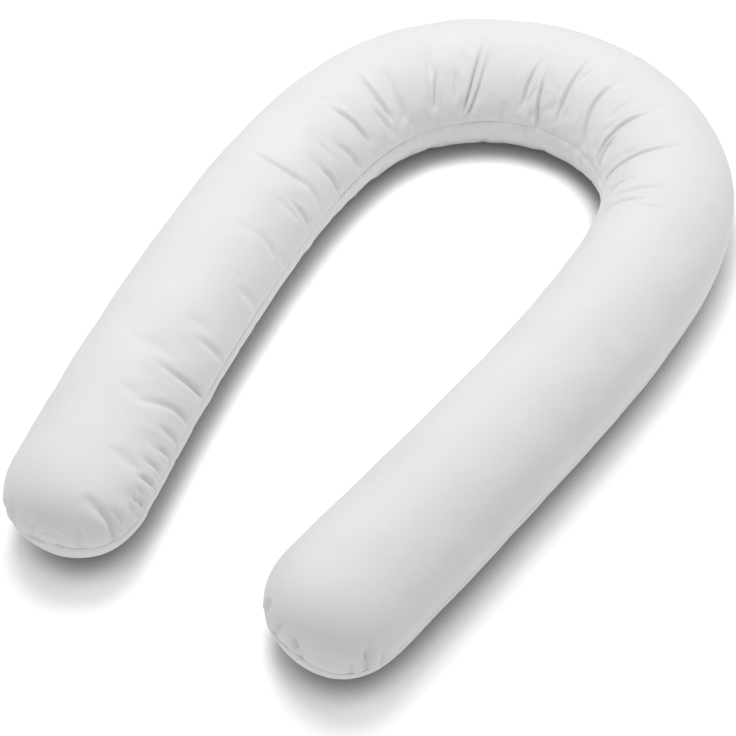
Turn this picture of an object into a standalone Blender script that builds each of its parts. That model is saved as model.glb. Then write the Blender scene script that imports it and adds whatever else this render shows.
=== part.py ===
"""A horseshoe body pillow: one stuffed tube of two cotton panels.

The upper and the under panel meet in one seam that runs all the way round the
tube's sides, a little above the surface that the pillow lies on. The tube
follows a smooth line from the tip of the left leg, round the bend, to the tip
of the right leg. Units are metres, +Y runs from the open end to the bend, and
the origin is the middle of the outline, on the surface underneath.
"""

import math
from collections import namedtuple

import bmesh
import bpy
import numpy as np

# The line of the tube seen from above, with half the tube's width and the inner
# seam's angle under the widest line there. The legs lean in towards the open
# end, and the bend's top sits right of centre.
Station = namedtuple("Station", "x y half_width inner_drop")
STATIONS = (
    Station(-0.160, -0.650, 0.101, 3.0),
    Station(-0.225, -0.385, 0.100, 3.0),
    Station(-0.270, -0.115, 0.100, 3.0),
    Station(-0.290, 0.145, 0.100, 2.0),
    Station(-0.230, 0.405, 0.102, 0.0),
    Station(0.035, 0.545, 0.104, -2.0),
    Station(0.230, 0.445, 0.104, -1.0),
    Station(0.290, 0.180, 0.103, 2.0),
    Station(0.270, -0.090, 0.101, 3.0),
    Station(0.235, -0.355, 0.101, 3.0),
    Station(0.200, -0.610, 0.102, 3.0),
)

# The round section's middle, and its reach over and under it before it flattens
# on the surface below.
MIDDLE_HEIGHT = 0.076
CROWN_OVER_MIDDLE = 0.104
DROP_UNDER_MIDDLE = 0.102
REST_BLEND = 0.015

# The closed ends are blunt domes, and the middle climbs a little towards them.
END_LENGTH = 0.119
END_BLUNTNESS = 2.2
END_LIFT = 0.028
END_LIFT_RUN = 0.36

# The sewn channel pulls the two panels in along both sides. The seam lies a few
# degrees under the tube's widest line: more on the outer side, and on the inner
# side as far as the stations say.
SEAM_DEPTH = 0.003
SEAM_HALF_ANGLE = 4.0
OUTER_SEAM_DROP = 9.0
SEAM_DROP_FADE = 45.0

# The main creases, all on the inner side, as soft troughs across the tube:
# how far along the line, the angles they run between (0 is the seam and 90 the
# crown), and the depth and half-width of the trough.
Fold = namedtuple("Fold", "along low high depth half_width")
FOLDS = (
    Fold(0.260, 4, 38, 0.0030, 0.018),
    Fold(0.320, 6, 52, 0.0035, 0.020),
    Fold(0.610, 8, 42, 0.0025, 0.020),
    Fold(0.735, 42, 80, 0.0030, 0.018),
    Fold(0.790, 8, 48, 0.0035, 0.018),
    Fold(0.895, 28, 66, 0.0040, 0.018),
    Fold(0.975, 28, 76, 0.0035, 0.018),
    Fold(1.100, 22, 55, 0.0025, 0.016),
    Fold(1.185, 14, 62, 0.0040, 0.016),
    Fold(1.325, 8, 58, 0.0040, 0.016),
    Fold(1.392, 26, 68, 0.0035, 0.016),
    Fold(1.465, 18, 74, 0.0045, 0.016),
    Fold(1.537, 24, 78, 0.0040, 0.016),
    Fold(1.628, 22, 84, 0.0035, 0.018),
    Fold(1.718, 20, 76, 0.0030, 0.018),
)
FOLD_FADE = 12.0

# Rings of points across the tube: close together where the bend gathers.
LEG_SPACING = 0.028
BEND_SPACING = 0.0155
BEND_FROM = 0.70
BEND_TO = 1.80
END_RINGS = 8

# Angles of the points round a ring, from the inner seam over the crown.
UPPER_ANGLES = (0, 4, 13, 24, 36, 48, 61, 75, 90, 105, 120, 134, 148, 161, 172, 176)
UNDER_ANGLES = (180, 184, 190, 201, 214, 229, 244, 270, 296, 311, 326, 339, 350, 356)

COTTON_COLOUR = (0.80, 0.80, 0.79, 1.0)
COTTON_ROUGHNESS = 0.9


def natural_spline(at, through, where):
    """Value and slope, at each of `where`, of the smooth curve through the knots."""
    step = np.diff(at)[:, None]
    rise = np.diff(through, axis=0) / step
    count = len(at)
    system = np.eye(count)
    bends = np.zeros((count, through.shape[1]))
    for knot in range(1, count - 1):
        before = step[knot - 1, 0]
        after = step[knot, 0]
        system[knot, knot - 1 : knot + 2] = before, 2 * (before + after), after
        bends[knot] = 6 * (rise[knot] - rise[knot - 1])
    second = np.linalg.solve(system, bends)
    span = np.clip(np.searchsorted(at, where, side="right") - 1, 0, count - 2)
    past = (where - at[span])[:, None]
    width = step[span]
    slope = rise[span] - width * (2 * second[span] + second[span + 1]) / 6
    cubic = (second[span + 1] - second[span]) / (6 * width)
    value = through[span] + past * (slope + past * (second[span] / 2 + past * cubic))
    return value, slope + past * (second[span] + past * 3 * cubic)


def smooth_step(share):
    share = np.clip(share, 0, 1)
    return share * share * (3 - 2 * share)


def rest_on_surface(height):
    """Heights with all below the surface brought up to it, in a soft curve."""
    soft = (height + REST_BLEND) ** 2 / (4 * REST_BLEND)
    return np.where(height > REST_BLEND, height, np.where(height < -REST_BLEND, 0, soft))


def trough_depth(along, angle):
    """How far the creases and the seam press the cloth in at each point."""
    to_inner = (angle + 180) % 360 - 180
    to_outer = angle - 180
    depth = sum(
        SEAM_DEPTH * np.exp(-((side / SEAM_HALF_ANGLE) ** 2)) for side in (to_inner, to_outer)
    )
    for fold in FOLDS:
        across = np.exp(-(((along - fold.along) / fold.half_width) ** 2))
        starts = smooth_step((angle - fold.low) / FOLD_FADE + 0.5)
        stops = smooth_step((fold.high - angle) / FOLD_FADE + 0.5)
        depth = depth + fold.depth * across * starts * stops
    return depth


def from_seam(angle, inner_drop):
    """Angles in the round section of points counted from the dropped seams."""
    to_inner = (angle + 180) % 360 - 180
    near_inner = np.exp(-((to_inner / SEAM_DROP_FADE) ** 2))
    near_outer = np.exp(-(((angle - 180) / SEAM_DROP_FADE) ** 2))
    return angle - inner_drop * near_inner + OUTER_SEAM_DROP * near_outer


def tube_points(line_knots, along, angle):
    """Points at each distance along the line, as rings round the tube."""
    stations = np.array(STATIONS)
    place, slope = natural_spline(line_knots, stations, along)
    heading = slope[:, :2] / np.linalg.norm(slope[:, :2], axis=1)[:, None]
    inward = np.stack([heading[:, 1], -heading[:, 0]], axis=1)
    to_tip = np.minimum(along, line_knots[-1] - along)
    hollow = np.clip(1 - to_tip / END_LENGTH, 0, 1) ** END_BLUNTNESS
    fullness = (1 - hollow) ** (1 / END_BLUNTNESS)
    middle = MIDDLE_HEIGHT + END_LIFT * (1 - smooth_step(to_tip / END_LIFT_RUN))

    turn = np.radians(from_seam(np.array(angle)[None, :], place[:, 3:]))
    above = np.sin(turn) >= 0
    rise = MIDDLE_HEIGHT + CROWN_OVER_MIDDLE - middle
    tall = np.where(above, rise[:, None], DROP_UNDER_MIDDLE) * fullness[:, None]
    wide = (place[:, 2] * fullness)[:, None]
    pressed = trough_depth(along[:, None], np.array(angle)[None, :]) * fullness[:, None]
    side = (wide - pressed) * np.cos(turn)
    height = middle[:, None] + (tall - pressed) * np.sin(turn)
    flat = place[:, None, :2] + side[:, :, None] * inward[:, None, :]
    return np.concatenate([flat, rest_on_surface(height)[:, :, None]], axis=2)


def ring_places(length):
    """Distances along the line at which a ring of points is made."""
    turns = np.radians(np.linspace(0, 90, END_RINGS + 1)[1:])
    dome = END_LENGTH * (1 - np.cos(turns))
    stretches = (
        (END_LENGTH, BEND_FROM, LEG_SPACING),
        (BEND_FROM, BEND_TO, BEND_SPACING),
        (BEND_TO, length - END_LENGTH, LEG_SPACING),
    )
    places = [dome[:-1]]
    for start, stop, spacing in stretches:
        places.append(np.linspace(start, stop, round((stop - start) / spacing), endpoint=False))
    places.append(length - dome[::-1])
    return np.concatenate(places)


def pillow_mesh():
    """The closed tube: rings bridged one to the next, and a point at each tip."""
    stations = np.array(STATIONS)
    legs = np.linalg.norm(np.diff(stations[:, :2], axis=0), axis=1)
    line_knots = np.concatenate([[0], np.cumsum(legs)])
    angles = UPPER_ANGLES + UNDER_ANGLES
    places = ring_places(line_knots[-1])
    rings = tube_points(line_knots, places, angles)
    tips = tube_points(line_knots, np.array([0, line_knots[-1]]), angles)[:, 0]
    centre = (rings.min(axis=(0, 1)) + rings.max(axis=(0, 1))) / 2
    shift = np.array([centre[0], centre[1], 0])

    mesh = bmesh.new()
    ring_verts = [[mesh.verts.new(point - shift) for point in ring] for ring in rings]
    count = len(angles)
    for ring, onward in zip(ring_verts, ring_verts[1:]):
        for k in range(count):
            after = (k + 1) % count
            mesh.faces.new((ring[k], ring[after], onward[after], onward[k]))
    for ring, tip in ((ring_verts[0], tips[0]), (ring_verts[-1], tips[1])):
        point = mesh.verts.new(tip - shift)
        for k in range(count):
            mesh.faces.new((ring[k], ring[(k + 1) % count], point))
    bmesh.ops.recalc_face_normals(mesh, faces=mesh.faces[:])
    return mesh


def cotton():
    """Matt white cotton cloth."""
    material = bpy.data.materials.new("white_cotton")
    material.use_nodes = True
    shader = material.node_tree.nodes["Principled BSDF"]
    shader.inputs["Base Color"].default_value = COTTON_COLOUR
    shader.inputs["Roughness"].default_value = COTTON_ROUGHNESS
    shader.inputs["Metallic"].default_value = 0.0
    return material


def make_pillow():
    mesh = pillow_mesh()
    data = bpy.data.meshes.new("pillow")
    mesh.to_mesh(data)
    mesh.free()
    data.shade_smooth()
    data.set_sharp_from_angle(angle=math.radians(60))
    data.materials.append(cotton())
    pillow = bpy.data.objects.new("pillow", data)
    bpy.context.scene.collection.objects.link(pillow)


for old in list(bpy.data.objects):
    bpy.data.objects.remove(old, do_unlink=True)
make_pillow()
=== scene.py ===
"""Looks of a horseshoe body pillow, lying on a plain pale floor.

Metres, +Z up, +Y from the open end to the bend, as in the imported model.
"""

import math
from collections import namedtuple

import bpy
import numpy as np
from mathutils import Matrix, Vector


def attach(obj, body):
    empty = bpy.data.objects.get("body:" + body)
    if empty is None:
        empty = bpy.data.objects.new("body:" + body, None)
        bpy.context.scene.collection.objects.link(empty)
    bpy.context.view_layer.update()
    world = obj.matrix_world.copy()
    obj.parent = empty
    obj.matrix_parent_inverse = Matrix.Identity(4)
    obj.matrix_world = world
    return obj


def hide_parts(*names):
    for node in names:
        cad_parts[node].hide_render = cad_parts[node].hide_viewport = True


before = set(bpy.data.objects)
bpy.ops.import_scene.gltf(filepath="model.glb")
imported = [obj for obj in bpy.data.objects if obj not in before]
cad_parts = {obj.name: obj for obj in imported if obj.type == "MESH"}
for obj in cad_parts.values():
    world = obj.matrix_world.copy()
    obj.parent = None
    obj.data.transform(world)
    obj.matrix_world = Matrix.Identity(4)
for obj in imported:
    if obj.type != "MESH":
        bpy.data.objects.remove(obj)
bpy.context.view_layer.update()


# Camera: a long lens looks down on the pillow from in front of its open end and
# a little from the right, far enough off for the legs to keep their width.
VIEW_AZIMUTH = 31.7
VIEW_ELEVATION = 50.4
VIEW_DISTANCE = 2.627
VIEW_LENS_MM = 88.5
VIEW_TARGET = Vector((0.037, -0.145, 0.092))

azimuth = math.radians(VIEW_AZIMUTH)
elevation = math.radians(VIEW_ELEVATION)
towards_camera = Vector(
    (
        math.sin(azimuth) * math.cos(elevation),
        -math.cos(azimuth) * math.cos(elevation),
        math.sin(elevation),
    )
)
camera_data = bpy.data.cameras.new("camera")
camera_data.lens = VIEW_LENS_MM
camera_data.sensor_width = 36.0
camera = bpy.data.objects.new("camera", camera_data)
camera.location = VIEW_TARGET + towards_camera * VIEW_DISTANCE
camera.rotation_euler = towards_camera.to_track_quat("Z", "Y").to_euler()
bpy.context.scene.collection.objects.link(camera)
bpy.context.scene.camera = camera


# Floor: one wide sheet of matt white studio board under the pillow, lit to clean
# white. Where the pillow rests, a painted contact shadow darkens the board's colour
# and its glow, so that the contact shadow is deep and narrow.
FLOOR_SIZE = 30.0
FLOOR_COLOUR = "#FCFCFC"
# Painted contact shadow: its dark colour, how far its occlusion test reaches, and the occlusion
# at which it is darkest and at which it has cleared.
PAINTED_SHADOW_COLOUR = "#8C8D8F"
CONTACT_REACH = 0.055
CONTACT_DARKEST = 0.25
CONTACT_CLEAR = 0.90
BOARD_GLOW = 0.16
BOARD_ROUGHNESS = 0.9


def linear(hex_colour):
    """The linear colour of an sRGB hex value, with alpha 1."""
    channels = [int(hex_colour[k : k + 2], 16) / 255 for k in (1, 3, 5)]
    return [c / 12.92 if c <= 0.04045 else ((c + 0.055) / 1.055) ** 2.4 for c in channels] + [1]


def add_node(tree, kind, settings=None, values=None, links=None):
    """One node with its settings, its socket values and what feeds its sockets."""
    node = tree.nodes.new(kind)
    for name, value in (settings or {}).items():
        setattr(node, name, value)
    for name, value in (values or {}).items():
        node.inputs[name].default_value = value
    for name, source in (links or {}).items():
        tree.links.new(source, node.inputs[name])
    return node


bpy.ops.mesh.primitive_plane_add(size=FLOOR_SIZE, location=(0, 0, 0))
floor = bpy.context.object
floor.name = "floor"
board = bpy.data.materials.new("white_studio_board")
board.use_nodes = True
board_tree = board.node_tree
board_shader = board_tree.nodes["Principled BSDF"]
board_shader.inputs["Roughness"].default_value = BOARD_ROUGHNESS
board_shader.inputs["Specular IOR Level"].default_value = 0.0
# Painted contact shadow: ambient occlusion mixes the board's colour and glow towards the dark
# contact colour where the pillow hems the board in.
beside = add_node(
    board_tree, "ShaderNodeAmbientOcclusion", {"samples": 8}, {"Distance": CONTACT_REACH}
)
clear_of_painted_shadow = add_node(
    board_tree,
    "ShaderNodeMapRange",
    {"interpolation_type": "SMOOTHSTEP"},
    {"From Min": CONTACT_DARKEST, "From Max": CONTACT_CLEAR},
    {"Value": beside.outputs["AO"]},
)
board_tone_and_painted_shadow = add_node(
    board_tree,
    "ShaderNodeMix",
    {"data_type": "RGBA"},
    {6: linear(PAINTED_SHADOW_COLOUR), 7: linear(FLOOR_COLOUR)},
    {"Factor": clear_of_painted_shadow.outputs["Result"]},
)
board_tree.links.new(board_tone_and_painted_shadow.outputs[2], board_shader.inputs["Base Color"])
board_tree.links.new(board_tone_and_painted_shadow.outputs[2], board_shader.inputs["Emission Color"])
board_shader.inputs["Emission Strength"].default_value = BOARD_GLOW
floor.data.materials.append(board)


# Light: two soft boxes, a strong one nearly overhead and a weak low one behind,
# and an even pale sky that fills the shaded sides.
Lamp = namedtuple("Lamp", "name azimuth elevation power")
LAMPS = (
    Lamp("key_light", -60.0, 75.0, 41.7),
    Lamp("rim_light", 30.0, 35.0, 8.1),
)
LAMP_SIZE = 1.2
LAMP_DISTANCE = 2.6
LAMP_AIM_HEIGHT = 0.1
SKY_STRENGTH = 0.573

for lamp in LAMPS:
    lamp_turn = math.radians(lamp.azimuth)
    lamp_rise = math.radians(lamp.elevation)
    lamp_way = Vector(
        (
            math.sin(lamp_turn) * math.cos(lamp_rise),
            math.cos(lamp_turn) * math.cos(lamp_rise),
            math.sin(lamp_rise),
        )
    )
    lamp_data = bpy.data.lights.new(lamp.name, "AREA")
    lamp_data.shape = "DISK"
    lamp_data.size = LAMP_SIZE
    lamp_data.energy = lamp.power
    lamp_object = bpy.data.objects.new(lamp.name, lamp_data)
    lamp_object.location = lamp_way * LAMP_DISTANCE + Vector((0, 0, LAMP_AIM_HEIGHT))
    lamp_object.rotation_euler = lamp_way.to_track_quat("Z", "Y").to_euler()
    bpy.context.scene.collection.objects.link(lamp_object)

sky = bpy.data.worlds.new("pale_sky")
sky.use_nodes = True
sky.node_tree.nodes["Background"].inputs["Color"].default_value = linear("#FFFFFF")
sky.node_tree.nodes["Background"].inputs["Strength"].default_value = SKY_STRENGTH
bpy.context.scene.world = sky
bpy.context.scene.view_settings.view_transform = "Standard"
bpy.context.scene.view_settings.look = "None"


# Cover: two long panels of fine white cotton, sewn together all round and turned
# right side out over a firm filling. The panels gather where the tube bends
# inwards and at the leg ends, and only a narrow fold shows where the seam runs.
MM = 0.001

# The tube's line seen from above, from the left leg's tip round the bend to the
# right leg's, with half its width and the inner seam's drop in degrees.
Station = namedtuple("Station", "x y half_width inner_drop")
STATIONS = np.array(
    (
        Station(-0.160, -0.650, 0.101, 3.0),
        Station(-0.225, -0.385, 0.100, 3.0),
        Station(-0.270, -0.115, 0.100, 3.0),
        Station(-0.290, 0.145, 0.100, 2.0),
        Station(-0.230, 0.405, 0.102, 0.0),
        Station(0.035, 0.545, 0.104, -2.0),
        Station(0.230, 0.445, 0.104, -1.0),
        Station(0.290, 0.180, 0.103, 2.0),
        Station(0.270, -0.090, 0.101, 3.0),
        Station(0.235, -0.355, 0.101, 3.0),
        Station(0.200, -0.610, 0.102, 3.0),
    )
)

# The round section's middle, and its reach over and under it before it flattens
# on the floor.
MIDDLE_HEIGHT = 0.076
CROWN_OVER_MIDDLE = 0.104
DROP_UNDER_MIDDLE = 0.102
REST_BLEND = 0.015

# The closed ends are blunt domes, most of all above the seam, and their under
# panel is drawn in a little on its way to the floor.
END_LENGTH = 0.119
END_BLUNTNESS = 2.6
END_FRONT_BLUNTNESS = 3.2
END_UNDER_BLUNTNESS = 2.0
END_TUCK = 0.18
END_TUCK_RUN = 0.24

# The two leg ends: how high the filling lifts the seam there, how far the end is
# drawn back, and how much further back it is on its inner side than its middle.
End = namedtuple("End", "lift back askew")
LEFT_END = End(0.013, 0.019, -0.003)
RIGHT_END = End(0.003, 0.014, 0.002)
END_LIFT_RUN = 0.36

# The outer seam's drop, and how far round the tube a seam's drop fades, in degrees.
OUTER_SEAM_DROP = 9.0
SEAM_DROP_FADE = 45.0

# Points round a ring, above and below the seams, and the rows in mm from a seam.
POINTS_ABOVE = 66
POINTS_BELOW = 46
SEAM_ROWS = (0.7, 1.5, 2.8, 4.6, 7.0, 10.0)
TUBE_RADIUS = 0.101

# Rings along the tube: how far each run goes and its spacing, closest in the bend,
# where the cloth gathers most.
Run = namedtuple("Run", "stop spacing")
RING_RUNS = (
    Run(0.24, 0.0026),
    Run(0.68, 0.0032),
    Run(0.88, 0.0026),
    Run(1.80, 0.0021),
    Run(2.70, 0.0065),
)
END_RINGS = 34


def smooth_step(share):
    share = np.clip(share, 0, 1)
    return share * share * (3 - 2 * share)


def natural_spline(at, through, where):
    """Value and slope, at each of `where`, of the smooth curve through the knots."""
    step = np.diff(at)[:, None]
    rise = np.diff(through, axis=0) / step
    count = len(at)
    system = np.eye(count)
    bends = np.zeros((count, through.shape[1]))
    for knot in range(1, count - 1):
        before = step[knot - 1, 0]
        after = step[knot, 0]
        system[knot, knot - 1 : knot + 2] = before, 2 * (before + after), after
        bends[knot] = 6 * (rise[knot] - rise[knot - 1])
    second = np.linalg.solve(system, bends)
    span = np.clip(np.searchsorted(at, where, side="right") - 1, 0, count - 2)
    past = (where - at[span])[:, None]
    width = step[span]
    slope = rise[span] - width * (2 * second[span] + second[span + 1]) / 6
    cubic = (second[span + 1] - second[span]) / (6 * width)
    value = through[span] + past * (slope + past * (second[span] / 2 + past * cubic))
    return value, slope + past * (second[span] + past * 3 * cubic)


leg_steps = np.linalg.norm(np.diff(STATIONS[:, :2], axis=0), axis=1)
LINE_KNOTS = np.concatenate([[0], np.cumsum(leg_steps)])
LENGTH = LINE_KNOTS[-1]


def end_fullness(to_tip, bluntness):
    """Share of its full size that the tube has this far from its tip."""
    hollow = np.clip(1 - to_tip / END_LENGTH, 0, 1) ** bluntness
    return (1 - hollow) ** (1 / bluntness)


def tube_points(along, angle):
    """The tube before it is pressed in: points at (along, angle), one row per ring."""
    place, slope = natural_spline(LINE_KNOTS, STATIONS, along)
    heading = slope[:, :2] / np.linalg.norm(slope[:, :2], axis=1)[:, None]
    inward = np.stack([heading[:, 1], -heading[:, 0]], axis=1)
    to_tip = np.minimum(along, LENGTH - along)
    fullness = end_fullness(to_tip, END_BLUNTNESS)
    ends = np.where((along < LENGTH / 2)[:, None], [LEFT_END], [RIGHT_END])
    middle = MIDDLE_HEIGHT + ends[:, 0] * (1 - smooth_step(to_tip / END_LIFT_RUN))
    to_inner = (angle + 180) % 360 - 180
    near_inner = np.exp(-((to_inner / SEAM_DROP_FADE) ** 2))
    near_outer = np.exp(-(((angle - 180) / SEAM_DROP_FADE) ** 2))
    turn = np.radians(angle - place[:, 3:] * near_inner + OUTER_SEAM_DROP * near_outer)
    rise = MIDDLE_HEIGHT + CROWN_OVER_MIDDLE - middle
    # Under a leg end the lower panel is flatter from the seam to the floor.
    tuck = END_TUCK * (1 - smooth_step(to_tip / END_TUCK_RUN))[:, None]
    power = np.where(np.sin(turn) < 0, 1 + tuck, 1)
    out_share = np.sign(np.cos(turn)) * np.abs(np.cos(turn)) ** power
    up_share = np.sign(np.sin(turn)) * np.abs(np.sin(turn)) ** power
    above = (rise * end_fullness(to_tip, END_FRONT_BLUNTNESS))[:, None]
    below = (DROP_UNDER_MIDDLE * end_fullness(to_tip, END_UNDER_BLUNTNESS))[:, None]
    tall = np.where(np.sin(turn) >= 0, above, below)
    side = (place[:, 2] * fullness)[:, None] * out_share
    height = middle[:, None] + tall * up_share
    soft = (height + REST_BLEND) ** 2 / (4 * REST_BLEND)
    height = np.where(height > REST_BLEND, height, np.where(height < -REST_BLEND, 0, soft))
    towards_bend = heading * np.where(along < LENGTH / 2, 1, -1)[:, None]
    back = ends[:, 1:2] + ends[:, 2:] * side / place[:, 2:3]
    back *= 1 - smooth_step(to_tip / END_TUCK_RUN)[:, None]
    flat = place[:, None, :2] + side[:, :, None] * inward[:, None, :]
    flat += back[:, :, None] * towards_bend[:, None, :]
    return np.concatenate([flat, height[:, :, None]], axis=2)


def ring_places(runs, end_rings):
    """Distances along the tube of its rings, crowding together over the two tips."""
    turns = np.radians(np.linspace(0, 90, end_rings + 1)[1:])
    dome = END_LENGTH * (1 - np.cos(turns))
    places = [dome[:-1]]
    last = END_LENGTH
    for run in runs:
        stop = min(run.stop, LENGTH - END_LENGTH)
        places.append(np.linspace(last, stop, round((stop - last) / run.spacing), endpoint=False))
        last = stop
    places.append(LENGTH - dome[::-1])
    return np.concatenate(places)


def half_ring(points):
    """Angles over half a ring, closer together beside the seams at its two ends."""
    beside = np.degrees(np.array(SEAM_ROWS) * MM / TUBE_RADIUS)
    between = np.linspace(beside[-1], 180 - beside[-1], points - len(SEAM_ROWS) * 2)
    return np.concatenate([[0], beside[:-1], between, 180 - beside[:-1][::-1]])


def unit(vectors):
    return vectors / np.maximum(np.linalg.norm(vectors, axis=-1, keepdims=True), 1e-12)


# The stations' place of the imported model's origin, which is under the middle of it.
TUBE_CENTRE = np.array((0.0016, -0.0023, 0))


class Tube:
    """The smooth stuffed tube as a grid of points: rings along it, angles round it."""

    def __init__(self, along, angle):
        self.along = along
        self.angle = angle
        self.points = tube_points(along, angle[None, :]) - TUBE_CENTRE
        ring_way = np.gradient(self.points, axis=0)
        round_way = np.gradient(self.points, axis=1)
        out = unit(np.cross(ring_way, round_way))
        from_middle = self.points - self.points.mean(axis=1, keepdims=True)
        self.outward = out * np.sign((from_middle * out).sum(axis=2).mean())
        self.stretch = np.linalg.norm(np.gradient(self.points, along, axis=0), axis=2)
        self.to_tip = np.minimum(along, LENGTH - along)[:, None]
        self.from_left_tip = self.distance_from_tip(self.points)
        self.from_right_tip = self.distance_from_tip(self.points[::-1])[::-1]

    def distance_from_tip(self, rings):
        """Distance over the cloth from the tip that the first ring surrounds."""
        runs = np.linalg.norm(np.diff(rings, axis=0), axis=2)
        first = np.linalg.norm(rings[:1] - rings[:1].mean(axis=1, keepdims=True), axis=2)
        return np.concatenate([first, first + np.cumsum(runs, axis=0)])


# Creases across the tube, each between two angles (0 is the inner seam, 90 the
# crown, 180 the outer seam). A crease is at `along` at its low end and `slant`
# further on at its high end, and bows between them. Depth and width in mm.
Crease = namedtuple("Crease", "along slant bow low high depth width")
CREASES = (
    # left end
    Crease(0.033, 0.008, 0.000, 3, 52, 4.2, 5.5),
    Crease(0.056, -0.008, 0.000, 6, 40, 2.2, 4.0),
    Crease(0.082, -0.010, 0.000, 3, 33, 2.2, 3.2),
    Crease(0.104, -0.018, 0.000, 2, 33, 3.6, 3.4),
    Crease(0.122, -0.020, 0.000, 2, 31, 2.4, 3.2),
    Crease(0.145, -0.022, 0.002, 1, 33, 3.4, 3.6),
    Crease(0.173, -0.019, 0.000, 4, 34, 2.4, 3.8),
    Crease(0.207, -0.025, 0.003, 2, 32, 2.6, 4.0),
    # left leg
    Crease(0.233, -0.018, 0.003, 2, 37, 2.2, 4.4),
    Crease(0.273, -0.041, 0.006, 6, 60, 3.0, 4.6),
    Crease(0.330, -0.028, -0.005, 6, 59, 3.8, 4.4),
    Crease(0.395, -0.014, 0.000, 14, 42, 2.0, 6.0),
    Crease(0.516, -0.016, 0.000, 8, 38, 1.2, 7.0),
    Crease(0.600, 0.002, 0.000, 24, 50, 1.7, 6.0),
    Crease(0.683, -0.010, 0.000, 28, 56, 1.3, 6.0),
    Crease(0.702, -0.010, 0.002, 12, 42, 3.4, 4.6),
    Crease(0.736, -0.010, -0.005, 44, 94, 3.2, 4.2),
    Crease(0.743, -0.003, 0.002, 14, 43, 2.0, 5.0),
    Crease(0.800, -0.019, 0.002, 10, 46, 3.2, 4.2),
    Crease(0.814, -0.002, 0.000, 42, 62, 1.3, 5.0),
    Crease(0.863, -0.028, 0.005, 12, 47, 2.6, 4.4),
    # bend
    Crease(0.903, -0.022, 0.003, 27, 72, 4.6, 3.6),
    Crease(0.961, -0.017, 0.000, 22, 50, 2.2, 4.6),
    Crease(0.975, -0.007, -0.005, 29, 84, 4.2, 4.0),
    Crease(1.008, 0.003, -0.002, 24, 64, 2.6, 4.4),
    Crease(1.088, 0.019, 0.000, 24, 55, 3.6, 3.6),
    Crease(1.093, 0.013, 0.000, 54, 78, 1.3, 4.5),
    Crease(1.138, 0.006, 0.000, 28, 50, 1.8, 4.5),
    Crease(1.156, 0.045, 0.001, 14, 78, 5.0, 3.4),
    Crease(1.163, 0.048, 0.006, 8, 72, 3.4, 3.2),
    Crease(1.286, 0.016, -0.003, 22, 62, 4.2, 3.6),
    Crease(1.329, -0.009, -0.004, 3, 52, 5.0, 2.7),
    Crease(1.378, 0.004, -0.002, 20, 80, 4.4, 3.8),
    Crease(1.384, 0.017, 0.000, 54, 77, 1.5, 4.0),
    Crease(1.473, -0.023, -0.016, 12, 75, 5.4, 3.2),
    Crease(1.496, 0.000, 0.000, 48, 74, 1.5, 4.5),
    Crease(1.533, 0.005, -0.008, 12, 79, 5.4, 3.0),
    Crease(1.553, -0.012, -0.004, 9, 43, 3.6, 3.0),
    Crease(1.621, 0.003, 0.004, 9, 88, 5.0, 3.0),
    Crease(1.692, -0.003, 0.000, 24, 48, 3.0, 3.2),
    Crease(1.729, -0.011, 0.001, 42, 86, 2.2, 4.0),
    Crease(1.765, -0.016, -0.005, 34, 74, 4.0, 3.2),
    Crease(1.767, -0.006, 0.000, 68, 95, 1.3, 4.0),
)

# Puckers that stand on the seam round a leg end. Each is `across` mm from the tip,
# measured along the seam and positive towards the inner side, and rises `reach`.
Pucker = namedtuple("Pucker", "leg across lean reach depth width")
PUCKERS = (
    Pucker("left", 49, -10, 50, 3.6, 5.5),
    Pucker("left", 13, 1, 34, 2.2, 5.0),
    Pucker("left", -29, 10, 44, 2.8, 6.0),
    Pucker("left", -64, 3, 54, 4.0, 5.5),
    Pucker("left", -92, 4, 40, 3.0, 5.5),
    Pucker("right", 73, -20, 54, 6.0, 5.2),
    Pucker("right", 40, -20, 52, 4.4, 5.4),
    Pucker("right", -14, 17, 42, 5.6, 6.0),
    Pucker("right", -84, 5, 38, 4.0, 4.6),
    Pucker("right", -108, 14, 70, 6.5, 6.0),
    Pucker("right", -131, 4, 50, 4.0, 5.6),
)


# A crease is already part deep at its two ends, and reaches its full depth over
# these shares of its length. A pucker is full soon above the seam.
LOW_END_DEPTH = 0.4
LOW_END_RUN = 0.28
HIGH_END_DEPTH = 0.3
HIGH_END_RUN = 0.55
PUCKER_FOOT_DEPTH = 0.15
PUCKER_FOOT_RUN = 0.25
PUCKER_FADE = 2.2


def crease_depths(tube, narrowest=0.0):
    """How far the creases and puckers press in, in metres, at each point of the tube."""
    depths = np.zeros(tube.points.shape[:2])
    for crease in CREASES:
        share = (tube.angle - crease.low) / (crease.high - crease.low)
        start = smooth_step(share / LOW_END_RUN + LOW_END_DEPTH)
        ends = start * smooth_step((1 - share) / HIGH_END_RUN + HIGH_END_DEPTH)
        path = crease.along + crease.slant * share + crease.bow * (1 - (2 * share - 1) ** 2)
        across = (tube.along[:, None] - path[None, :]) * tube.stretch
        depths += fold_profile(across, crease.depth, crease.width, narrowest) * ends[None, :]
    radians = np.radians(tube.angle)[None, :]
    for pucker in PUCKERS:
        from_tip = tube.from_left_tip if pucker.leg == "left" else tube.from_right_tip
        share = from_tip * np.sin(radians) / (pucker.reach * MM)
        across = from_tip * np.cos(radians) - (pucker.across + pucker.lean * share) * MM
        foot = smooth_step(share / PUCKER_FOOT_RUN + PUCKER_FOOT_DEPTH)
        ends = foot * smooth_step((1 - share) * PUCKER_FADE)
        depths += fold_profile(across, pucker.depth, pucker.width, narrowest) * ends
    return depths


# The section of a crease: its trough's skirt and its ridges, as shares of its depth
# and at multiples of its width.
CREASE_SHARPNESS = 0.66
SKIRT_DEPTH = 0.5
SKIRT_REACH = 3.0
RIDGE_HEIGHT = 0.42
RIDGE_PLACE = 2.5
RIDGE_REACH = 1.5


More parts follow.
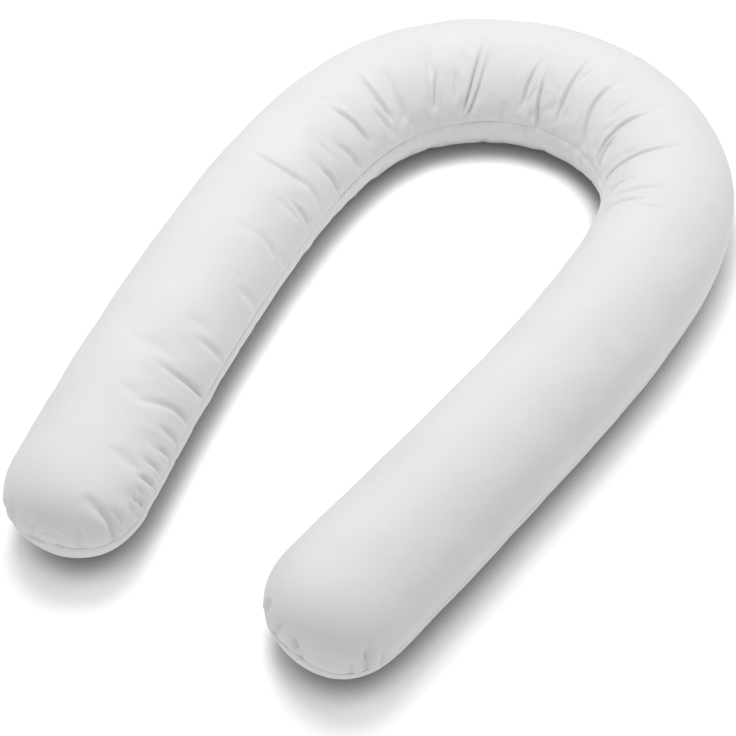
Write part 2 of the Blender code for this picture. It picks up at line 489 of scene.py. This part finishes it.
def fold_profile(across, depth, width, narrowest):
    """A soft trough between two low ridges."""
    width = max(width * CREASE_SHARPNESS, narrowest) * MM
    trough = np.exp(-((across / width) ** 2))
    trough += SKIRT_DEPTH * np.exp(-((across / (SKIRT_REACH * width)) ** 2))
    ridges = 0
    for way in (-RIDGE_PLACE, RIDGE_PLACE):
        ridges = ridges + np.exp(-(((across + way * width) / (RIDGE_REACH * width)) ** 2))
    return depth * MM * (trough - RIDGE_HEIGHT * ridges)


# Stuffing: the panels are a little longer than the tube's inner side, so under the
# pressure of the filling they buckle between the seam and the crown. A cloth
# simulation finds these small wrinkles, held along the seams and the main creases.
# Lengths are in metres, and the least crease that the coarse grid holds and the
# depth that holds it fast are in mm.
SLACK = 0.034
FILLING_PRESSURE = 9.0
CLOTH_FRAMES = 20
CLOTH_RING_SPACING = 0.0065
CLOTH_END_RINGS = 15
CLOTH_ANGLES = 60
CLOTH_LEAST_CREASE = 5.5
HELD_CREASE_DEPTH = 3.5
WRINKLE_FLOOR = 0.004
WRINKLE_REACH = 0.045
WRINKLE_SHARE = 0.9
WRINKLE_CAP = 0.006
WRINKLE_TIP_FADE = 0.030

# The share of the slack that each place along the tube gets: the bend and the left
# leg's end gather, and the right leg is smooth. Round the tube it fades out, in
# degrees from the inner seam, past the crown and under the seam.
SLACK_PAST_CROWN = 112
SLACK_CROWN_RUN = 76
SLACK_UNDER_SEAM = 60
Slack = namedtuple("Slack", "along share")
SLACK_SHARES = (
    Slack(0.00, 0.50),
    Slack(0.10, 1.00),
    Slack(0.30, 0.70),
    Slack(0.40, 0.20),
    Slack(0.60, 0.20),
    Slack(0.75, 0.90),
    Slack(1.00, 1.00),
    Slack(1.70, 1.00),
    Slack(1.85, 0.03),
    Slack(2.66, 0.02),
)


def grid_faces(rings, count):
    """Faces of a closed tube of rings, with its two tips as the last two points."""
    near = np.arange((rings - 1) * count).reshape(-1, count)
    far = near + count
    quads = np.stack([near, far, np.roll(far, -1, axis=1), np.roll(near, -1, axis=1)], axis=-1)
    faces = quads.reshape(-1, 4).tolist()
    first_tip = rings * count
    last_ring = first_tip - count
    for k in range(count):
        after = (k + 1) % count
        faces.append((first_tip, k, after))
        faces.append((last_ring + k, first_tip + 1, last_ring + after))
    return faces


def cloth_object(name, grid):
    """A closed mesh of the grid of points, with its faces outwards."""
    tips = tube_points(np.array([0.0, LENGTH]), np.array([[0.0]]))[:, 0] - TUBE_CENTRE
    points = np.concatenate([grid.reshape(-1, 3), tips])
    mesh = bpy.data.meshes.new(name)
    mesh.from_pydata(points.tolist(), [], grid_faces(*grid.shape[:2]))
    made = bpy.data.objects.new(name, mesh)
    bpy.context.scene.collection.objects.link(made)
    bpy.ops.object.select_all(action="DESELECT")
    bpy.context.view_layer.objects.active = made
    made.select_set(True)
    bpy.ops.object.mode_set(mode="EDIT")
    bpy.ops.mesh.select_all(action="SELECT")
    bpy.ops.mesh.normals_make_consistent(inside=False)
    bpy.ops.object.mode_set(mode="OBJECT")
    return made


def weight_group(piece, name, weights):
    """A vertex group with these weights, rounded so that equal ones go in together."""
    group = piece.vertex_groups.new(name=name)
    weights = np.round(weights, 2)
    for weight in np.unique(weights[weights > 0]):
        group.add(np.nonzero(weights == weight)[0].tolist(), float(weight), "REPLACE")


def blur(values, places, reach):
    """Values smoothed along their first axis over `reach`."""
    shares = np.exp(-(((places[:, None] - places[None, :]) / reach) ** 2))
    shares /= shares.sum(axis=1, keepdims=True)
    return np.tensordot(shares, values, axes=1)


def stuffed_wrinkles(fine):
    """How far the simulated cloth moves from the smooth tube, at each point of `fine`."""
    coarse = Tube(
        ring_places((Run(2.70, CLOTH_RING_SPACING),), CLOTH_END_RINGS),
        np.arange(CLOTH_ANGLES) * 360 / CLOTH_ANGLES,
    )
    depths = crease_depths(coarse, narrowest=CLOTH_LEAST_CREASE)
    start = coarse.points - coarse.outward * depths[:, :, None]
    trial = cloth_object("cloth_trial", start)

    to_inner = (coarse.angle + 180) % 360 - 180
    at_seam = (np.abs(to_inner) < 2) | (np.abs(coarse.angle - 180) < 4)
    held = np.where(at_seam[None, :] | (start[:, :, 2] < 0.5 * MM), 1.0, 0.0)
    held = np.maximum(held, np.clip(depths / (HELD_CREASE_DEPTH * MM), 0, 1))
    weight_group(trial, "held", np.append(held.ravel(), [1, 1]))
    round_share = smooth_step((SLACK_PAST_CROWN - to_inner) / SLACK_CROWN_RUN)
    round_share *= smooth_step((to_inner + SLACK_UNDER_SEAM) / SLACK_UNDER_SEAM)
    along_share = np.interp(coarse.along, *zip(*SLACK_SHARES))
    slack = np.append((along_share[:, None] * round_share[None, :]).ravel(), [0, 0])
    weight_group(trial, "taut", 1 - slack)

    cloth = trial.modifiers.new("Cloth", "CLOTH")
    cloth.settings.quality = 6
    cloth.settings.mass = 0.3
    cloth.settings.tension_stiffness = 15
    cloth.settings.compression_stiffness = 15
    cloth.settings.shear_stiffness = 5
    cloth.settings.bending_stiffness = 6
    cloth.settings.use_pressure = True
    cloth.settings.uniform_pressure_force = FILLING_PRESSURE
    cloth.settings.vertex_group_mass = "held"
    cloth.settings.vertex_group_shrink = "taut"
    cloth.settings.shrink_min = -SLACK
    cloth.settings.shrink_max = 0.0
    cloth.settings.effector_weights.gravity = 0
    cloth.collision_settings.use_collision = False
    cloth.point_cache.frame_end = CLOTH_FRAMES
    for step in range(1, CLOTH_FRAMES + 1):
        bpy.context.scene.frame_set(step)
    bpy.ops.object.modifier_apply(modifier=cloth.name)
    bpy.context.scene.frame_set(1)
    settled = np.empty(len(trial.data.vertices) * 3)
    trial.data.vertices.foreach_get("co", settled)
    settled = settled.reshape(-1, 3)[:-2].reshape(start.shape)
    bpy.data.objects.remove(trial)

    moved = ((settled - start) * coarse.outward).sum(axis=2)
    moved = blur(moved, coarse.along, WRINKLE_FLOOR) - blur(moved, coarse.along, WRINKLE_REACH)
    moved = WRINKLE_SHARE * moved
    moved = moved / np.sqrt(1 + (moved / WRINKLE_CAP) ** 2)
    onto_rings = natural_spline(coarse.along, moved, fine.along)[0]
    before = onto_rings[:, -4:]
    after = onto_rings[:, :5]
    round_again = np.concatenate([before, onto_rings, after], axis=1)
    knots = np.arange(-4, CLOTH_ANGLES + 5) * (360 / CLOTH_ANGLES)
    onto_points = natural_spline(knots, round_again.T, fine.angle)[0].T
    return onto_points * smooth_step(fine.to_tip / WRINKLE_TIP_FADE)


tube = Tube(
    ring_places(RING_RUNS, END_RINGS),
    np.concatenate([half_ring(POINTS_ABOVE), 180 + half_ring(POINTS_BELOW)]),
)
pressed = crease_depths(tube)
pressed -= stuffed_wrinkles(tube)

# The filling leaves broad, very shallow hollows all over the cover.
HOLLOW_WAVES = 40
HOLLOW_WAVELENGTHS = (0.045, 0.130)
HOLLOW_DEPTH_SHARE = 0.0008
chance = np.random.default_rng(17)
for wave in range(HOLLOW_WAVES):
    way = unit(chance.normal(size=3))
    wavelength = chance.uniform(*HOLLOW_WAVELENGTHS)
    phase = chance.uniform(0, 2 * math.pi)
    height = HOLLOW_DEPTH_SHARE * wavelength
    pressed += height * np.sin(tube.points @ way * (2 * math.pi / wavelength) + phase)

# The seam: a narrow fold between the panels, in the shallow channel that the
# stitches pull in, with small gathers about 16 mm apart above and below it. The
# gathers' depths and widths are in mm, and their reaches in degrees from the seam.
Pull = namedtuple("Pull", "depth half_width")
SEAM_PULLS = (Pull(0.0009, 0.0010), Pull(0.0020, 0.0070))
GATHER_SPACING = 0.016
GATHER_JITTER = 0.4
GATHER_DEPTHS = (0.15, 0.75)
GATHER_WIDTHS = (2.0, 3.6)
GATHER_REACHES = (5, 14)
GATHER_CREST = 4
GATHER_WINDOW = 0.03
GATHER_LEAN = 0.0004
LOWER_GATHERS = 0.5
SEAM_TIP_GAP = 0.02
TIP_FADE = 0.012
from_inner = (tube.angle + 180) % 360 - 180
from_outer = tube.angle - 180
radius = np.linalg.norm(tube.points[:, 0] - tube.points[:, POINTS_ABOVE - 1], axis=1)[:, None] / 2
for to_seam in (from_inner, from_outer):
    across = np.radians(to_seam)[None, :] * radius
    for pull in SEAM_PULLS:
        pressed += pull.depth * np.exp(-((across / pull.half_width) ** 2))
    for place in np.arange(SEAM_TIP_GAP, LENGTH - SEAM_TIP_GAP, GATHER_SPACING):
        place = place + chance.uniform(-GATHER_JITTER, GATHER_JITTER) * GATHER_SPACING
        side = chance.choice((-1, 1))
        depth = chance.uniform(*GATHER_DEPTHS) * MM
        width = chance.uniform(*GATHER_WIDTHS) * MM
        reach = chance.uniform(*GATHER_REACHES)
        lean = chance.uniform(-GATHER_LEAN, GATHER_LEAN)
        near = np.abs(tube.along - place) < GATHER_WINDOW
        offset = (tube.along[near, None] - place - lean * to_seam[None, :]) * tube.stretch[near]
        from_crest = (to_seam * side - GATHER_CREST) / reach
        window = np.exp(-(from_crest**2)) * (to_seam * side > -1)
        share = 1.0 if side > 0 else LOWER_GATHERS
        pressed[near] += share * depth * np.exp(-((offset / width) ** 2)) * window[None, :]

from_tip = np.minimum(tube.from_left_tip, tube.from_right_tip)
pressed *= smooth_step(from_tip / TIP_FADE)
grid = tube.points - tube.outward * pressed[:, :, None]
grid[:, :, 2] = np.maximum(grid[:, :, 2], 0)
cover = cloth_object("cover", grid)
cover.data.shade_smooth()

# The cloth's own map, in metres along the tube and round it from the inner seam.
ROUND_METRES = 2 * math.pi * TUBE_RADIUS / 360
point_along = np.append(np.repeat(tube.along, len(tube.angle)), [0, LENGTH])
point_round = np.append(np.tile(tube.angle, len(tube.along)), [0, 0]) * ROUND_METRES
corner_points = np.empty(len(cover.data.loops), dtype=np.int32)
cover.data.loops.foreach_get("vertex_index", corner_points)
corner_round = point_round[corner_points]
for face in cover.data.polygons:
    corners = slice(face.loop_start, face.loop_start + face.loop_total)
    if np.ptp(corner_round[corners]) > 180 * ROUND_METRES:
        corner_round[corners] += np.where(corner_round[corners] < 0.1, 360 * ROUND_METRES, 0)
cloth_map = cover.data.uv_layers.new(name="cloth_metres")
cloth_map.uv.foreach_set(
    "vector", np.stack([point_along[corner_points], corner_round], axis=1).ravel()
)

# Where the fold of the seam gapes enough for its shade to show, from tip to tip.
Gape = namedtuple("Gape", "start stop share")
INNER_GAPES = (
    Gape(0.045, 0.080, 1.0),
    Gape(0.340, 0.560, 0.7),
    Gape(0.790, 1.010, 0.6),
    Gape(1.150, 1.240, 0.4),
)
OUTER_GAPES = (
    Gape(0.004, 0.050, 0.7),
    Gape(1.920, 2.030, 0.8),
    Gape(2.210, 2.500, 1.0),
    Gape(2.600, 2.660, 0.8),
)
GAPE_FADE = 0.02
SHADE_HALF_WIDTH = 0.0011
LEAST_SHADE = 0.04
shade = np.zeros(tube.points.shape[:2])
for to_seam, gapes in ((from_inner, INNER_GAPES), (from_outer, OUTER_GAPES)):
    gape_share = np.full(len(tube.along), LEAST_SHADE)
    for gape in gapes:
        opens = smooth_step((tube.along - gape.start) / GAPE_FADE)
        closes = smooth_step((gape.stop - tube.along) / GAPE_FADE)
        gape_share += (gape.share - LEAST_SHADE) * opens * closes
    across = np.radians(to_seam)[None, :] * radius
    shade += gape_share[:, None] * np.exp(-((across / SHADE_HALF_WIDTH) ** 2))
seam_shade = cover.data.attributes.new("seam_shade", "FLOAT", "POINT")
seam_shade.data.foreach_set("value", np.append(shade.ravel(), [LEAST_SHADE, LEAST_SHADE]))

# Cotton percale, bleached and washed: close plain weave of fine combed yarns. It is
# matt, with a faint bloom of fibre ends at the edges and slubs a few threads long.
COTTON_COLOUR = "#D9D8D9"
SEAM_SHADE_COLOUR = "#86878B"
# Real yarns lie 0.3 mm apart. They are drawn 1.2 mm apart, the least that shows.
YARN_SPACING = 0.0012
WAVE_BAND = math.pi / 10
SLUB_LENGTH = 0.012
SLUB_WIDTH = 0.0012
CRINKLE_SIZE = 0.022
CLOUD_SIZE = 0.11
CLOUD_TONES = (0.98, 1.02)
COTTON_ROUGHNESS = (0.84, 0.93)

cotton = bpy.data.materials.new("cotton_percale")
cotton.use_nodes = True
weave_tree = cotton.node_tree
cotton_shader = weave_tree.nodes["Principled BSDF"]
cotton_shader.inputs["Specular IOR Level"].default_value = 0.25
cotton_shader.inputs["Sheen Weight"].default_value = 0.12
cotton_shader.inputs["Sheen Roughness"].default_value = 0.5
cloth_place = add_node(weave_tree, "ShaderNodeUVMap", {"uv_map": "cloth_metres"})
body_place = add_node(weave_tree, "ShaderNodeTexCoord")

yarn_rows = []
for direction in ("X", "Y"):
    yarn_rows.append(
        add_node(
            weave_tree,
            "ShaderNodeTexWave",
            {"bands_direction": direction},
            {"Scale": WAVE_BAND / YARN_SPACING},
            {"Vector": cloth_place.outputs["UV"]},
        )
    )
plain_weave = add_node(
    weave_tree,
    "ShaderNodeMath",
    {"operation": "MULTIPLY"},
    links={0: yarn_rows[0].outputs["Fac"], 1: yarn_rows[1].outputs["Fac"]},
)

slubs = []
for stretch in ((1 / SLUB_LENGTH, 1 / SLUB_WIDTH, 1), (1 / SLUB_WIDTH, 1 / SLUB_LENGTH, 1)):
    stretched = add_node(
        weave_tree,
        "ShaderNodeMapping",
        values={"Scale": stretch},
        links={"Vector": cloth_place.outputs["UV"]},
    )
    slubs.append(
        add_node(
            weave_tree,
            "ShaderNodeTexNoise",
            values={"Scale": 1.0, "Detail": 2.0},
            links={"Vector": stretched.outputs["Vector"]},
        )
    )
yarn_relief = add_node(
    weave_tree,
    "ShaderNodeMath",
    {"operation": "ADD"},
    links={0: slubs[0].outputs["Fac"], 1: slubs[1].outputs["Fac"]},
)
crinkle = add_node(
    weave_tree,
    "ShaderNodeTexNoise",
    values={"Scale": 1 / CRINKLE_SIZE, "Detail": 3.0, "Distortion": 0.4},
    links={"Vector": body_place.outputs["Object"]},
)
clouds = add_node(
    weave_tree,
    "ShaderNodeTexNoise",
    values={"Scale": 1 / CLOUD_SIZE, "Detail": 4.0},
    links={"Vector": body_place.outputs["Object"]},
)

crinkle_bump = add_node(
    weave_tree,
    "ShaderNodeBump",
    values={"Strength": 0.5, "Distance": 0.0011},
    links={"Height": crinkle.outputs["Fac"]},
)
slub_bump = add_node(
    weave_tree,
    "ShaderNodeBump",
    values={"Strength": 0.4, "Distance": 0.00012},
    links={"Height": yarn_relief.outputs["Value"], "Normal": crinkle_bump.outputs["Normal"]},
)
weave_bump = add_node(
    weave_tree,
    "ShaderNodeBump",
    values={"Strength": 0.5, "Distance": 0.00018},
    links={"Height": plain_weave.outputs["Value"], "Normal": slub_bump.outputs["Normal"]},
)
weave_tree.links.new(weave_bump.outputs["Normal"], cotton_shader.inputs["Normal"])

# Cloudy, nearly even white, 2% lighter or darker, and the shade inside the seam.
cloud_tone = add_node(
    weave_tree,
    "ShaderNodeMapRange",
    values={
        "From Min": 0.3,
        "From Max": 0.7,
        "To Min": CLOUD_TONES[0],
        "To Max": CLOUD_TONES[1],
    },
    links={"Value": clouds.outputs["Fac"]},
)
cloudy_cotton = add_node(
    weave_tree,
    "ShaderNodeVectorMath",
    {"operation": "SCALE"},
    {0: linear(COTTON_COLOUR)[:3]},
    {"Scale": cloud_tone.outputs["Result"]},
)
seam_place = add_node(weave_tree, "ShaderNodeAttribute", {"attribute_name": "seam_shade"})
cover_tone = add_node(
    weave_tree,
    "ShaderNodeMix",
    {"data_type": "RGBA"},
    {7: linear(SEAM_SHADE_COLOUR)},
    {"Factor": seam_place.outputs["Fac"], 6: cloudy_cotton.outputs["Vector"]},
)
weave_tree.links.new(cover_tone.outputs[2], cotton_shader.inputs["Base Color"])
matt = add_node(
    weave_tree,
    "ShaderNodeMapRange",
    values={
        "From Min": 0.3,
        "From Max": 0.7,
        "To Min": COTTON_ROUGHNESS[0],
        "To Max": COTTON_ROUGHNESS[1],
    },
    links={"Value": crinkle.outputs["Fac"]},
)
weave_tree.links.new(matt.outputs["Result"], cotton_shader.inputs["Roughness"])
cover.data.materials.append(cotton)

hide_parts("pillow")
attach(cover, "root")
